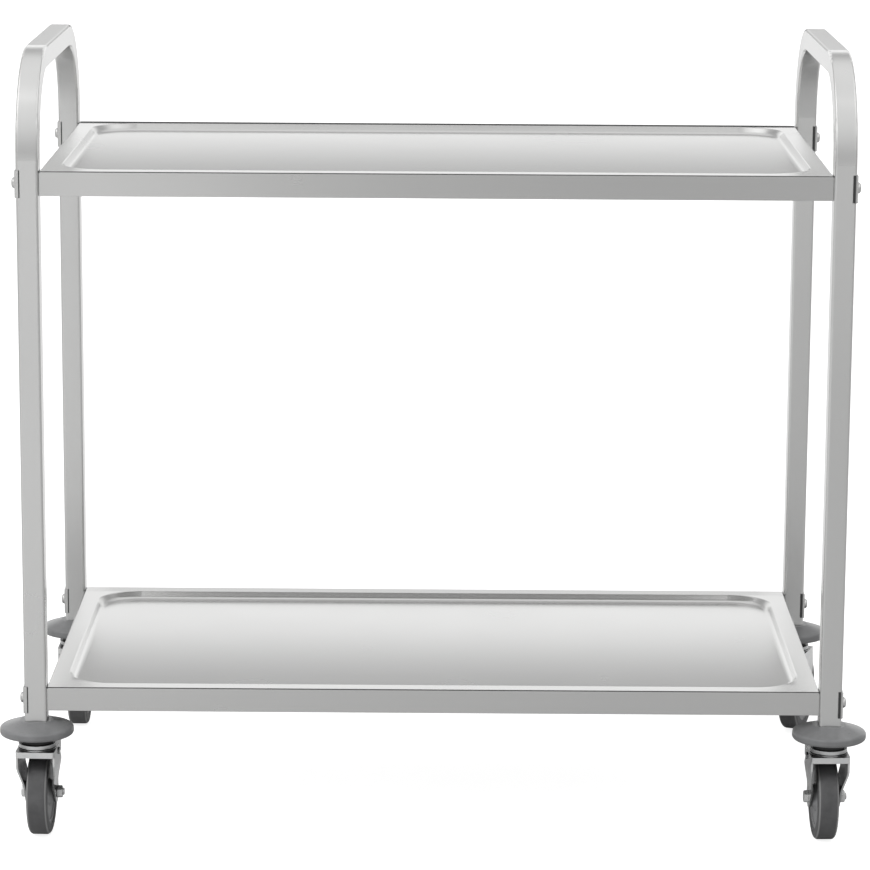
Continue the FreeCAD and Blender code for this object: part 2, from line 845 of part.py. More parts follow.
def add_front_cap(sketch, half, front, corner):
    """A strip as deep as its two round front corners."""
    back = front + corner
    flat = half - corner
    front_line = add_line(sketch, (-flat, front), (flat, front))
    back_line = add_line(sketch, (half, back), (-half, back))
    add_arc(sketch, (flat, back), corner, 270, 360, (front_line, 2), (back_line, 1))
    add_arc(sketch, (-flat, back), corner, 180, 270, (back_line, 2), (front_line, 1))


def make_fork(corner):
    """A pressed fork: crown with a lower ball track, front skirt, and legs that bend in to the axle."""
    body = new_body(f"{corner}_fork")
    front = new_sketch(body, "front", "XZ_Plane")
    wide = d.fork_width / 2
    narrow = d.fork_foot_width / 2
    bend_top = crown_top - d.leg_bend_top
    bend_foot = crown_top - d.leg_bend_foot
    foot = wheel_radius - d.eye_radius
    right_leg = [
        (wide - d.crown_sheet, crown_under),
        (wide - d.crown_sheet, bend_top),
        (narrow - d.crown_sheet, bend_foot),
        (narrow - d.crown_sheet, foot),
        (narrow, foot),
        (narrow, bend_foot),
        (wide, bend_top),
        (wide, crown_top),
    ]
    left_leg = [(-x, z) for x, z in reversed(right_leg)]
    add_outline(front, right_leg + left_leg)
    add_pad(body, "yoke", front, 2 * (d.trail + d.eye_radius), both_sides=True)
    bends = (bend_top.number, bend_foot.number)
    round_edges(
        body,
        "leg_bends",
        d.leg_bend_radius,
        lambda edge: edge.BoundBox.ZLength < NEAR and edge.BoundBox.XLength < NEAR
        and min(abs(edge.BoundBox.ZMin - z) for z in bends) < NEAR,
    )
    side = new_sketch(body, "side", "YZ_Plane")
    add_fork_side(side, d.leg_rear if corner in BRAKED else d.plain_leg_rear)
    add_pocket(body, "side_cut", side)
    skirt = new_sketch(body, "skirt", "XY_Plane", skirt_bottom)
    add_front_cap(skirt, wide, -d.fork_front, d.fork_corner)
    add_pad(body, "front_skirt", skirt, d.skirt_height)
    inside = new_sketch(body, "inside", "XY_Plane", skirt_bottom)
    add_front_cap(
        inside, wide - d.crown_sheet, d.crown_sheet - d.fork_front, d.fork_corner - d.crown_sheet
    )
    add_pocket(body, "skirt_hollow", inside, d.skirt_height - d.crown_sheet, reverse=True)
    track = new_sketch(body, "track", "XY_Plane", crown_top)
    add_circle(track, (0.0, 0.0), d.disc_diameter / 2)
    add_pad(body, "ball_track", track, d.race_disc)
    king = new_sketch(body, "king", "XY_Plane")
    add_circle(king, (0.0, 0.0), d.king_pin / 2 + d.king_clearance)
    add_pocket(body, "king_hole", king)
    pins = new_sketch(body, "pins", "YZ_Plane")
    add_circle(pins, (d.trail, wheel_radius), d.axle_size / 2 + d.axle_clearance)
    if corner in BRAKED:
        add_circle(pins, (pin_y, pin_z), d.brake_pin / 2 + d.brake_clearance)
    add_pocket(body, "pin_holes", pins)
    place_on_caster(body, corner)
    return keep(body)


def make_axle_bolt(corner):
    """The axle: a hexagon bolt along X through both fork legs."""
    body = new_body(f"{corner}_axle_bolt")
    start = -d.fork_foot_width / 2
    end = d.fork_foot_width / 2 + d.axle_nut + d.axle_tail
    head = new_sketch(body, "head", "YZ_Plane", start)
    add_hexagon(head, d.axle_across)
    add_pad(body, "hex_head", head, d.axle_head, reverse=True)
    cut_hex_corners(body, "head_corners", d.axle_across, start - d.axle_head, 1)
    shank = new_sketch(body, "shank", "YZ_Plane", start)
    add_circle(shank, (0.0, 0.0), d.axle_size / 2)
    add_pad(body, "axle", shank, end - start)
    place_on_caster(body, corner, d.trail, wheel_radius)
    return keep(body)


def make_axle_nut(corner):
    body = make_hex_nut(
        f"{corner}_axle_nut", d.axle_across, d.axle_nut, d.axle_size / 2 + d.axle_clearance
    )
    out = (d.fork_foot_width + d.axle_nut) / 2
    turn = getattr(d, f"{corner}_angle")
    side, end = CORNERS[corner]
    place(
        body,
        x=post_x * side - d.trail * sine(turn) + out * cosine(turn),
        y=post_y * end + d.trail * cosine(turn) + out * sine(turn),
        z=wheel_radius,
        turn=turn,
    )
    return keep(body)


def make_bush(corner):
    """The steel sleeve clamped between the fork legs, on which the wheel turns."""
    body = new_body(f"{corner}_hub_bush")
    ring = new_sketch(body, "ring", "YZ_Plane")
    add_circle(ring, (0.0, 0.0), d.bush_diameter / 2)
    add_circle(ring, (0.0, 0.0), d.axle_size / 2 + d.axle_clearance)
    add_pad(body, "sleeve", ring, 2 * leg_inside, both_sides=True)
    place_on_caster(body, corner, d.trail, wheel_radius)
    return keep(body)


def make_hub(corner):
    """The wheel centre: boss, dished web and rim, turned about X."""
    body = new_body(f"{corner}_wheel_hub")
    profile = new_sketch(body, "profile", "XY_Plane")
    bore = d.bush_diameter / 2 + d.hub_clearance
    boss = d.hub_boss / 2
    boss_half = leg_inside - d.hub_side_gap
    web_half = d.hub_web / 2
    rim_inside = hub_radius - d.hub_rim
    rim_half = d.hub_rim_width / 2
    right_side = [
        (boss_half, bore),
        (boss_half, boss),
        (web_half, boss + boss_half - web_half),
        (web_half, rim_inside),
        (rim_half, rim_inside),
        (rim_half, hub_radius),
    ]
    left_side = [(-x, y) for x, y in reversed(right_side)]
    add_outline(profile, right_side + left_side)
    add_turned(body, "turned", profile, "H_Axis")
    place_on_caster(body, corner, d.trail, wheel_radius)
    return keep(body)


def make_tyre(corner):
    """The tyre moulded round the wheel centre, with rounded shoulders."""
    body = new_body(f"{corner}_tyre")
    profile = new_sketch(body, "profile", "XY_Plane")
    half = d.tyre_width / 2
    add_outline(
        profile,
        [(-half, hub_radius), (half, hub_radius), (half, wheel_radius), (-half, wheel_radius)],
    )
    add_turned(body, "turned", profile, "H_Axis")
    shoulders = (ring_at(x=half, radius=wheel_radius), ring_at(x=-half, radius=wheel_radius))
    round_edges(body, "shoulders", d.tyre_round, lambda edge: any(test(edge) for test in shoulders))
    place_on_caster(body, corner, d.trail, wheel_radius)
    return keep(body)


def make_brake_pin(corner):
    """The headed pin through both fork legs that the pedal turns on."""
    body = new_body(f"{corner}_brake_pin")
    profile = new_sketch(body, "profile", "XY_Plane")
    leg = d.fork_width / 2
    head = d.brake_pin_head / 2
    head_out = leg + d.brake_pin_head_height
    shank = d.brake_pin / 2
    right_side = [(leg, shank), (leg, head), (head_out, head), (head_out, 0.0)]
    left_side = [(-x, y) for x, y in reversed(right_side)]
    add_outline(profile, right_side + left_side)
    add_turned(body, "turned", profile, "H_Axis")
    place_on_caster(body, corner, pin_y, pin_z)
    return keep(body)


def make_brake_pedal(corner):
    """The foot pedal: a barrel on the pin, a lever with a turned-down end, a shoe and two cheeks."""
    body = new_body(f"{corner}_brake_pedal")
    under = d.pedal_top - d.pedal_sheet
    slope = d.pedal_rise / d.pedal_reach

    def underside(y):
        return under + y * slope

    lever = new_sketch(body, "lever", "YZ_Plane")
    end_top = d.pedal_top + d.pedal_rise
    lip_inside = d.pedal_reach - d.pedal_sheet
    add_outline(
        lever,
        [
            (0.0, under),
            (d.shoe_start, underside(d.shoe_start)),
            (d.shoe_start, -d.shoe_drop),
            (d.shoe_end, -d.shoe_drop),
            (d.shoe_end, underside(d.shoe_end)),
            (lip_inside, underside(lip_inside)),
            (lip_inside, end_top - d.pedal_lip),
            (d.pedal_reach, end_top - d.pedal_lip),
            (d.pedal_reach, end_top),
            (0.0, d.pedal_top),
        ],
    )
    add_pad(body, "lever_plate", lever, d.pedal_width, both_sides=True)
    barrel = new_sketch(body, "barrel", "YZ_Plane")
    add_circle(barrel, (0.0, 0.0), d.brake_barrel / 2)
    add_pad(body, "barrel_pad", barrel, d.pedal_width, both_sides=True)
    cheek_points = [
        (d.cheek_start, underside(d.cheek_start)),
        (d.cheek_start + d.cheek_drop / 2, -d.cheek_drop),
        (d.cheek_end, -d.cheek_drop),
        (d.cheek_end, underside(d.cheek_end)),
    ]
    cheek = new_sketch(body, "cheek", "YZ_Plane")
    add_outline(cheek, cheek_points)
    add_pad(body, "cheeks", cheek, d.pedal_width, both_sides=True)
    between = new_sketch(body, "between", "YZ_Plane", -(d.pedal_width / 2 - d.pedal_sheet))
    add_outline(between, cheek_points)
    add_pocket(body, "cheek_gap", between, d.pedal_width - 2 * d.pedal_sheet, reverse=True)
    hole = new_sketch(body, "hole", "YZ_Plane")
    add_circle(hole, (0.0, 0.0), d.brake_pin / 2 + d.brake_clearance)
    add_pocket(body, "pin_hole", hole)
    place_on_caster(body, corner, pin_y, pin_z)
    return keep(body)


def make_shelf_joints(level, rim):
    """The bolts, nuts, plates and saddles of one shelf, four of each."""
    makers = {
        "shelf_bolts": make_shelf_bolt,
        "shelf_nuts": make_shelf_nut,
        "corner_plates": make_plate,
        "saddles": make_saddle,
    }
    for name, maker in makers.items():
        members = [
            maker(f"{level}_{corner}_{name}", rim, side, end) for corner, (side, end) in CORNERS.items()
        ]
        make_group(f"{level}_{name}", members)


def make_caster(corner):
    make_bumper(corner)
    make_stem(corner)
    make_balls(corner)
    make_fork(corner)
    make_axle_bolt(corner)
    make_axle_nut(corner)
    make_bush(corner)
    make_hub(corner)
    make_tyre(corner)
    if corner in BRAKED:
        make_brake_pin(corner)
        make_brake_pedal(corner)


def check_document():
    """Stops before anything is written if an object failed or a sub-part is empty or broken."""
    for piece in doc.Objects:
        if "Invalid" in piece.State or "Error" in piece.State:
            raise RuntimeError(f"{piece.Label} failed: {piece.State}")
    for piece in nodes:
        if piece.Shape.isNull() or not piece.Shape.isValid() or not piece.Shape.Solids:
            raise RuntimeError(f"{piece.Label} is not a valid solid")


make_frame("left_frame", -1)
make_frame("right_frame", 1)
for level, rim in (("upper", upper_rim), ("lower", lower_rim)):
    make_shelf(f"{level}_shelf", rim)
    make_channel(f"{level}_shelf_channel", rim)
    make_shelf_joints(level, rim)
make_group("post_plugs", [make_plug(f"{corner}_plug", *CORNERS[corner]) for corner in CORNERS])
make_group("dust_seals", [make_seal(f"{corner}_seal", *CORNERS[corner]) for corner in CORNERS])
for corner in CORNERS:
    make_caster(corner)

doc.recompute()
check_document()
os.makedirs("parts", exist_ok=True)
for piece in nodes:
    piece.Shape.exportStep(f"parts/{piece.Label}.step")
    print(f"{piece.Label}: {len(piece.Shape.Solids)} solids, {piece.Shape.Volume:.1f} mm3")
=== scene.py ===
import json
import math
import bmesh
import bpy
from mathutils import Matrix, Vector


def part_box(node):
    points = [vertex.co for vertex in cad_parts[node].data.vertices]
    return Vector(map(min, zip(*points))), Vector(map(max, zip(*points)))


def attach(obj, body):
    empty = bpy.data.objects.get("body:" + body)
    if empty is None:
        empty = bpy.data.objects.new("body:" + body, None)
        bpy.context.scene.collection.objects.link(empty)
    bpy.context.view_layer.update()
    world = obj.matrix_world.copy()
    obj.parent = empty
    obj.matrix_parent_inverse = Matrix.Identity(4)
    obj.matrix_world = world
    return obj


# A two-tier stainless service cart, dressed over its CAD frame. Metres and degrees.
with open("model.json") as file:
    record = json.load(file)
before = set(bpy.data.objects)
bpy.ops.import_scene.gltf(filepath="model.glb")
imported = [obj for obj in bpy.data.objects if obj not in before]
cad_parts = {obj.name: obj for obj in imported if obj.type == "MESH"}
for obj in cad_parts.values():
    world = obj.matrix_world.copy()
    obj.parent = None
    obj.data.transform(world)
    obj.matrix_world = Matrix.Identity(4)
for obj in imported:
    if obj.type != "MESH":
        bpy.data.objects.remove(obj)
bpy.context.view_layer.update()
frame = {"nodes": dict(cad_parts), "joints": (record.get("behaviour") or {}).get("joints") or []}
nodes = frame["nodes"]
joints = {joint["name"]: joint for joint in frame["joints"]}

CORNERS = ("front_left", "front_right", "rear_left", "rear_right")
BRAKED = ("front_left", "front_right")
IMAGE_SIZE = 870

# The camera: a long lens, a little above the cart and looking down on it.
CAMERA_PLACE = Vector((0.0086, -4.2986, 1.3205))
CAMERA_PITCH = -11.628
CAMERA_YAW = 0.116
CAMERA_ROLL = 0.345
FOCAL_PIXELS = 3656.5
SENSOR_WIDTH = 36.0

# The studio's light: a level for each height of a direction, from 0 at the horizon to 1 overhead.
# A level of 1 shows as white.
BACK_LEVELS = (
    (0.0, 0.08),
    (0.07, 0.12),
    (0.12, 0.7),
    (0.2, 1.25),
    (0.3, 1.38),
    (0.38, 1.0),
    (0.45, 0.5),
    (0.6, 0.6),
    (0.8, 1.0),
    (1.0, 1.05),
)
FRONT_LEVELS = ((0.0, 0.65), (0.15, 0.75), (0.4, 0.95), (0.7, 1.1), (1.0, 1.05))

# How that light changes to the sides and from front to back. Ranges are in the parts of a direction of
# length 1: its height for LOW_SIDES_TOP, and how far it points sideways or back for the others.
LOW_SIDES_LEVEL = 1.3
LOW_SIDES_TOP = (0.25, 0.4)
LOW_SIDES_RANGE = (0.13, 0.19)
FRONT_SIDES_SHARE = (0.4, 1.1)
FRONT_SIDES_RANGE = (0.05, 0.11)
LEFT_TO_RIGHT_SHARE = (1.1, 0.9)
LEFT_TO_RIGHT_RANGE = (-0.5, 0.5)
FRONT_TO_BACK_RANGE = (-0.3, 0.3)
ENDS_SHARE = (1.0, 0.6)
ENDS_RANGE = (0.5, 0.9)

# The floor: its own colour, its light in view and its light in polished metal. Ranges are in metres.
FLOOR_SIZE = 40.0
FLOOR_COLOUR = 0.5
FLOOR_ROUGHNESS = 0.9
FLOOR_SPECKLES = 40.0
FLOOR_SPECKLE_CONTRAST = 0.01
FLOOR_SEEN = 0.85
FLOOR_MIRRORED = 0.2
FLOOR_BEHIND = 0.5
FLOOR_NEAR_SHARE = (1.3, 0.3)
FLOOR_NEAR_RANGE = (-4.0, -0.5)
FLOOR_LEFT_SHARE = (1.2, 0.1)
FLOOR_LEFT_RANGE = (-0.8, 0.7)
FLOOR_BEHIND_RANGE = (0.3, 1.2)

# Lamps: place, target, width and height, watts, and whether polished metal mirrors them.
LAMPS = {
    "left_softbox": ((-2.4, -0.8, 3.2), (0.0, 0.0, 0.3), (3.0, 3.0), 14.0, True),
    "right_softbox": ((2.4, -0.8, 3.2), (0.0, 0.0, 0.3), (3.0, 3.0), 9.0, True),
    "key_light": ((-2.0, -1.9, 2.0), (-0.2, -0.2, 0.1), (0.5, 0.5), 30.0, False),
    "left_strip_light": ((-0.72, -4.35, 0.3), (-0.4, 0.0, 0.3), (0.3, 0.5), 0.45, True),
    "right_strip_light": ((1.5, -4.25, 0.3), (0.4, 0.0, 0.3), (0.3, 0.5), 1.1, True),
}

# The finishes. Grain, smudges, clouds, scratches, speckles, dust and lines are noise scales, as counts per
# metre. A relief is a strength and a height, and an edge is the radius that rounds off sharp edges.

# Satin steel, with the grain along its first axis.
SHEET_SHADE = 0.613
# The tubes are painted paler than the sheet, as painted light for the brighter light on the posts.
TUBE_PAINTED_LIGHT_SHADE = 0.66
GRAIN_CONTRAST = 0.003
STEEL_WARMTH = 0.005
FINE_GRAIN = (4.0, 420.0, 420.0)
FINE_GRAIN_SHARE = 0.6
COARSE_GRAIN = (2.0, 110.0, 110.0)
SMUDGES = 9.0
GRAIN_ROUGHNESS = 0.001
STEEL_ROUGHNESS = (0.255, 0.275)
BACK_RIM_POLISH = 0.14
STEEL_DRAW = 0.55
STEEL_EDGE = 0.0006

# Zinc plate, with painted shade in its hollows.
ZINC_DARK = (0.7, 0.71, 0.72)
ZINC_PALE = (0.79, 0.79, 0.78)
ZINC_PAINTED_SHADE = (0.025, 0.025, 0.025)
ZINC_CLOUDS = 90.0
ZINC_ROUGHNESS = (0.15, 0.23)
ZINC_EDGE = 0.0005
ZINC_SCRATCHES = (900.0, 900.0, 90.0)
ZINC_RELIEF = (0.08, 0.0001)
PAINTED_SHADE_REACH = 0.03
PAINTED_SHADE_RANGE = (0.35, 0.8)
THREAD_PITCH = 0.00125
THREAD_RELIEF = (0.8, 0.0003)

# Plastics and rubber.
BUMPER_DARK = (0.16, 0.162, 0.165)
BUMPER_PALE = (0.2, 0.202, 0.205)
BUMPER_CLOUDS = 45.0
BUMPER_SPECKLES = 900.0
BUMPER_ROUGHNESS = (0.26, 0.38)
BUMPER_RELIEF = (0.12, 0.0002)
RING_RADIANS_PER_METRE = 2600.0
RING_SHARE = 0.3
TYRE_DARK = (0.065, 0.065, 0.067)
TYRE_PALE = (0.095, 0.095, 0.097)
TYRE_DUST = 70.0
TYRE_LINES = 900.0
TYRE_ROUGHNESS = (0.4, 0.55)
TYRE_RELIEF = (0.15, 0.0003)
# A painted highlight along the shoulders of the tyres.
SHOULDER_PAINTED_HIGHLIGHT = (0.24, 0.24, 0.24)
SHOULDER_HIGHLIGHT_RANGE = (0.0003, 0.0012)
PARTING_RANGE = (0.0001, 0.0004)
PLASTIC_CLOUDS = 60.0
PLASTIC_SPECKLES = 1200.0
PLASTIC_ROUGHNESS_SPREAD = 0.14
PLASTIC_RELIEF = (0.08, 0.0002)

# The plain plastics and rubber: a dark and a pale shade, and the least roughness.
HUB_PLASTIC = ((0.25, 0.252, 0.256), (0.3, 0.302, 0.306), 0.4)
PLUG_PLASTIC = ((0.03, 0.03, 0.03), (0.05, 0.05, 0.05), 0.45)
# The seals' near black is partly their own rubber and partly painted shade under the bumpers.
SEAL_RUBBER_AND_PAINTED_SHADE = ((0.018, 0.018, 0.018), (0.03, 0.03, 0.03), 0.5)

# Sizes of the tube, the sheet, the saddles and the tyres that the materials follow.
BEND_RADIUS = 0.118
TRAY_HALF_WIDTH = 0.2
TRAY_HALF_LENGTH = 0.4135
TRAY_WALL = 0.01
RIM_START = 0.41
BACK_RIM_START = 0.216
BACK_RIM_BLEND = 0.003
SADDLE_DEPTH = 0.0056
TYRE_HALF_WIDTH = 0.012
TYRE_ROUND = 0.0045

# The form that pressing leaves in the sheet: slopes, crowns as height over distance squared, and waves.
TRAY_CROWN = {"upper": 0.1, "lower": 0.15}
TRAY_LEAN = {"upper": 0.135, "lower": 0.055}
RIM_LEAN = {"upper": 0.05, "lower": 0.0}
RIM_DIP = 3.5
BACK_RIM_FALL = 0.05
SHEET_WAVES = (2.5, 1.0, 1.0)
SHEET_WAVE_HEIGHT = 0.0015

# How level a surface lies, from 0 for upright to 1 for flat, where sheet counts as flat or as bent.
FLAT_LEVELS = (0.5, 0.9)
FOLD_FROM_LEVELS = (0.1, 0.3)
FOLD_TO_LEVELS = (0.8, 0.95)

# Painted shade along the folds of the shelves, and painted shadow along the lips of the saddles.
FOLD_WIDTH = 0.0022
FOLD_PAINTED_SHADE = (0.1, 0.1, 0.1)
LEFT_SADDLE_SHADOW_WIDTH = 0.0012
RIGHT_SADDLE_SHADOW_WIDTH = 0.0032
SADDLE_SHADOW_BLUR = (0.8, 1.2)
SADDLE_PAINTED_SHADOW = (0.08, 0.08, 0.08)

# Grip ridges on the brake pedals, counted back from the pedal's pin.
PEDAL_TOP = 0.004
PEDAL_RISE = 0.006
PEDAL_REACH = 0.058
RIDGE_COUNT = 5
RIDGE_FIRST = 0.036
RIDGE_STEP = 0.0042
RIDGE_LENGTH = 0.030
RIDGE_WIDTH = 0.0022
RIDGE_HEIGHT = 0.0009
RIDGE_FACETS = 8

# Spot welds that hold each channel's flanges to its tray.
WELD_COUNT = 14
WELD_FLANGE = 0.012
WELD_SHEET = 0.001
WELD_END = 0.02
WELD_SIDES = 20
WELD_PROFILE = ((0.0, 0.00012), (0.0014, 0.0001), (0.0019, 0.0003), (0.0024, 0.00028), (0.0029, -0.0001))


class Graph:
    """The nodes of a material or a world, added and linked one at a time."""

    def __init__(self, tree, shader):
        self.tree = tree
        self.shader = tree.nodes[shader]

    def add(self, kind, **settings):
        node = self.tree.nodes.new(kind)
        for name, value in settings.items():
            setattr(node, name, value)
        return node

    def feed(self, socket, value):
        """Links a socket to another one, or sets its value."""
        if isinstance(value, bpy.types.NodeSocket):
            self.tree.links.new(value, socket)
        else:
            socket.default_value = value

    def math(self, operation, first, second=0.0):
        node = self.add("ShaderNodeMath", operation=operation)
        self.feed(node.inputs[0], first)
        self.feed(node.inputs[1], second)
        return node.outputs[0]

    def place(self):
        """The point's place in the cart's own frame."""
        return self.add("ShaderNodeTexCoord").outputs["Object"]

    def split(self, vector):
        node = self.add("ShaderNodeSeparateXYZ")
        self.feed(node.inputs[0], vector)
        return node.outputs[0], node.outputs[1], node.outputs[2]

    def join(self, x, y, z):
        node = self.add("ShaderNodeCombineXYZ")
        for socket, value in zip(node.inputs, (x, y, z)):
            self.feed(socket, value)
        return node.outputs[0]

    def stretch(self, vector, scale):
        node = self.add("ShaderNodeMapping")
        self.feed(node.inputs["Vector"], vector)
        node.inputs["Scale"].default_value = scale
        return node.outputs[0]

    def to_local(self, vector, place, turn):
        """The vector seen from a place that is turned about the upright axis."""
        node = self.add("ShaderNodeMapping", vector_type="TEXTURE")
        self.feed(node.inputs["Vector"], vector)
        node.inputs["Location"].default_value = place
        node.inputs["Rotation"].default_value = (0.0, 0.0, turn)
        return node.outputs[0]

    def length(self, first, second):
        """The length of a flat vector from its two parts."""
        squares = self.math("ADD", self.math("POWER", first, 2.0), self.math("POWER", second, 2.0))
        return self.math("SQRT", squares)

    def noise(self, vector, scale=1.0, detail=4.0, roughness=0.55):
        node = self.add("ShaderNodeTexNoise")
        self.feed(node.inputs["Vector"], vector)
        node.inputs["Scale"].default_value = scale
        node.inputs["Detail"].default_value = detail
        node.inputs["Roughness"].default_value = roughness
        return node.outputs["Fac"]

    def spread(self, value, low, high, start=0.3, end=0.7, kind="LINEAR"):
        """Maps a value from start..end to low..high. The range it takes by itself is that of a noise."""
        node = self.add("ShaderNodeMapRange", interpolation_type=kind)
        self.feed(node.inputs["Value"], value)
        node.inputs["From Min"].default_value = start
        node.inputs["From Max"].default_value = end
        node.inputs["To Min"].default_value = low
        node.inputs["To Max"].default_value = high
        return node.outputs["Result"]

    def tint(self, value, low, high):
        """A colour between low and high as the value goes from 0 to 1."""
        node = self.add("ShaderNodeValToRGB")
        self.feed(node.inputs["Fac"], value)
        node.color_ramp.elements[0].color = (*low, 1.0)
        node.color_ramp.elements[1].color = (*high, 1.0)
        return node.outputs["Color"]

    def steps(self, value, stops):
        """A level read from (value, level) stops, straight between them."""
        node = self.add("ShaderNodeValToRGB")
        self.feed(node.inputs["Fac"], value)
        ramp = node.color_ramp
        while len(ramp.elements) < len(stops):
            ramp.elements.new(0.5)
        for element, (position, level) in zip(ramp.elements, stops):
            element.position = position
            element.color = (level, level, level, 1.0)
        return node.outputs["Color"]

    def bump(self, height, strength=1.0, distance=1.0, below=None):
        """A surface relief, on top of the one below."""
        node = self.add("ShaderNodeBump")
        node.inputs["Strength"].default_value = strength
        node.inputs["Distance"].default_value = distance
        self.feed(node.inputs["Height"], height)
        if below is not None:
            self.feed(node.inputs["Normal"], below)
        self.feed(self.shader.inputs["Normal"], node.outputs["Normal"])
        return node.outputs["Normal"]

    def blend(self, share, first, second):
        """The vector or colour between first and second at a share from 0 to 1."""
        # Inputs 4 and 5 and output 1 are the node's vectors.
        node = self.add("ShaderNodeMix", data_type="VECTOR")
        self.feed(node.inputs[0], share)
        self.feed(node.inputs[4], first)
        self.feed(node.inputs[5], second)
        return node.outputs[1]

    def level_share(self):
        """How far the surface lies level, from 0 for upright to 1 for flat."""
        normal = self.add("ShaderNodeNewGeometry").outputs["True Normal"]
        return self.math("ABSOLUTE", self.split(normal)[2])

    def openness(self, reach):
        """How open the surface lies, from 0 deep in a hollow to 1."""
        node = self.add("ShaderNodeAmbientOcclusion", samples=8)
        node.inputs["Distance"].default_value = reach
        return node.outputs["AO"]

    def soft_edges(self, radius):
        """Normals that round off sharp edges."""
        node = self.add("ShaderNodeBevel", samples=4)
        node.inputs["Radius"].default_value = radius
        return node.outputs["Normal"]

    def set(self, **values):
        """Sets or links inputs of the surface shader, with spaces written as underscores."""
        for name, value in values.items():
            self.feed(self.shader.inputs[name.replace("_", " ")], value)


def new_material(name):
    material = bpy.data.materials.new(name)
    material.use_nodes = True
    return material, Graph(material.node_tree, "Principled BSDF")


def node_mid(name):
    """The middle of a CAD node's box."""
    low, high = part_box(name)
    return (low + high) / 2


def caster_turn(corner):
    """The rest angle of a caster about its post."""
    axis = joints[f"{corner}_wheel_spin"]["axis"]
    return math.atan2(axis[1], axis[0])


def dress(material, *names):
    """Gives CAD nodes a material."""
    for name in names:
        mesh = nodes[name].data
        mesh.materials.clear()
        mesh.materials.append(material)


def finish_steel(graph, place, grain_place, across, normals, shade=SHEET_SHADE, smoother=None):
    """Satin steel: grain along the first part of grain_place, highlights drawn out across it."""
    fine_grain = graph.noise(graph.stretch(grain_place, FINE_GRAIN), detail=2.0)
    coarse_grain = graph.noise(graph.stretch(grain_place, COARSE_GRAIN), detail=2.0)
    smudges = graph.noise(place, scale=SMUDGES, detail=2.0)
    fine_part = graph.math("MULTIPLY", fine_grain, FINE_GRAIN_SHARE)
    coarse_part = graph.math("MULTIPLY", coarse_grain, 1.0 - FINE_GRAIN_SHARE)
    grain = graph.math("ADD", fine_part, coarse_part)
    dark = shade - GRAIN_CONTRAST
    pale = shade + GRAIN_CONTRAST
    dark_grain = (dark, dark, dark - STEEL_WARMTH)
    pale_grain = (pale, pale, pale - STEEL_WARMTH)
    colour = graph.tint(graph.spread(grain, 0.0, 1.0), dark_grain, pale_grain)
    grain_part = graph.spread(grain, -GRAIN_ROUGHNESS, GRAIN_ROUGHNESS)
    roughness = graph.math("ADD", grain_part, graph.spread(smudges, *STEEL_ROUGHNESS))
    if smoother is not None:
        roughness = graph.math("SUBTRACT", roughness, smoother)
    graph.set(Base_Color=colour, Metallic=1.0, Roughness=roughness)
    graph.set(Anisotropic=STEEL_DRAW, Tangent=across, Normal=normals)
    return colour


def tube_steel(name):
    """Satin steel with its grain along the bent tube of a frame."""
    material, graph = new_material(name)
    place = graph.place()
    x, y, z = graph.split(place)
    low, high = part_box("right_frame")
    tube = high.x - low.x
    bend = BEND_RADIUS - tube / 2
    from_end = graph.math("SUBTRACT", graph.math("ABSOLUTE", y), high.y - tube / 2 - bend)
    past_y = graph.math("MAXIMUM", from_end, 0.0)
    past_z = graph.math("MAXIMUM", graph.math("SUBTRACT", z, high.z - tube / 2 - bend), 0.0)
    off_centre = graph.length(past_y, past_z)
    run = graph.math("ADD", y, z)
    out_y = graph.math("MULTIPLY", graph.math("SIGN", y), past_y)
    across = graph.join(off_centre, out_y, past_z)
    along = graph.join(run, x, off_centre)
    # The same steel in a paler shade, as painted light on the posts.
    finish_steel(graph, place, along, across, graph.soft_edges(STEEL_EDGE), TUBE_PAINTED_LIGHT_SHADE)
    return material


def add_painted_fold_shade(graph, shelf, colour):
    """A fine line of painted shade along the fold round the top of a shelf."""
    _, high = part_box(shelf)
    x, y, z = graph.split(graph.place())
    past_x = graph.math("SUBTRACT", graph.math("ABSOLUTE", x), high.x - FOLD_WIDTH)
    past_y = graph.math("SUBTRACT", graph.math("ABSOLUTE", y), high.y - FOLD_WIDTH)
    at_edge = graph.math("GREATER_THAN", graph.math("MAXIMUM", past_x, past_y), 0.0)
    at_top = graph.math("GREATER_THAN", z, high.z - FOLD_WIDTH)
    level = graph.level_share()
    off_upright = graph.spread(level, 0.0, 1.0, *FOLD_FROM_LEVELS)
    off_level = graph.spread(level, 1.0, 0.0, *FOLD_TO_LEVELS)
    bent = graph.math("MULTIPLY", off_upright, off_level)
    painted_fold = graph.math("MULTIPLY", graph.math("MULTIPLY", at_edge, at_top), bent)
    # Painted shade along the fold.
    graph.set(Base_Color=graph.blend(painted_fold, colour, FOLD_PAINTED_SHADE))


def square_corners(graph, shelf, normals):
    """Normals that keep the front and back of a shelf flat up to its ends, next to the posts."""
    _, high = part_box(shelf)
    x, y, z = graph.split(graph.place())
    at_end = graph.math("GREATER_THAN", graph.math("ABSOLUTE", x), high.x - FOLD_WIDTH)
    at_front = graph.math("GREATER_THAN", graph.math("ABSOLUTE", y), high.y - FOLD_WIDTH)
    under_fold = graph.math("LESS_THAN", z, high.z - FOLD_WIDTH)
    at_corner = graph.math("MULTIPLY", graph.math("MULTIPLY", at_end, at_front), under_fold)
    return graph.blend(at_corner, normals, graph.join(0.0, graph.math("SIGN", y), 0.0))


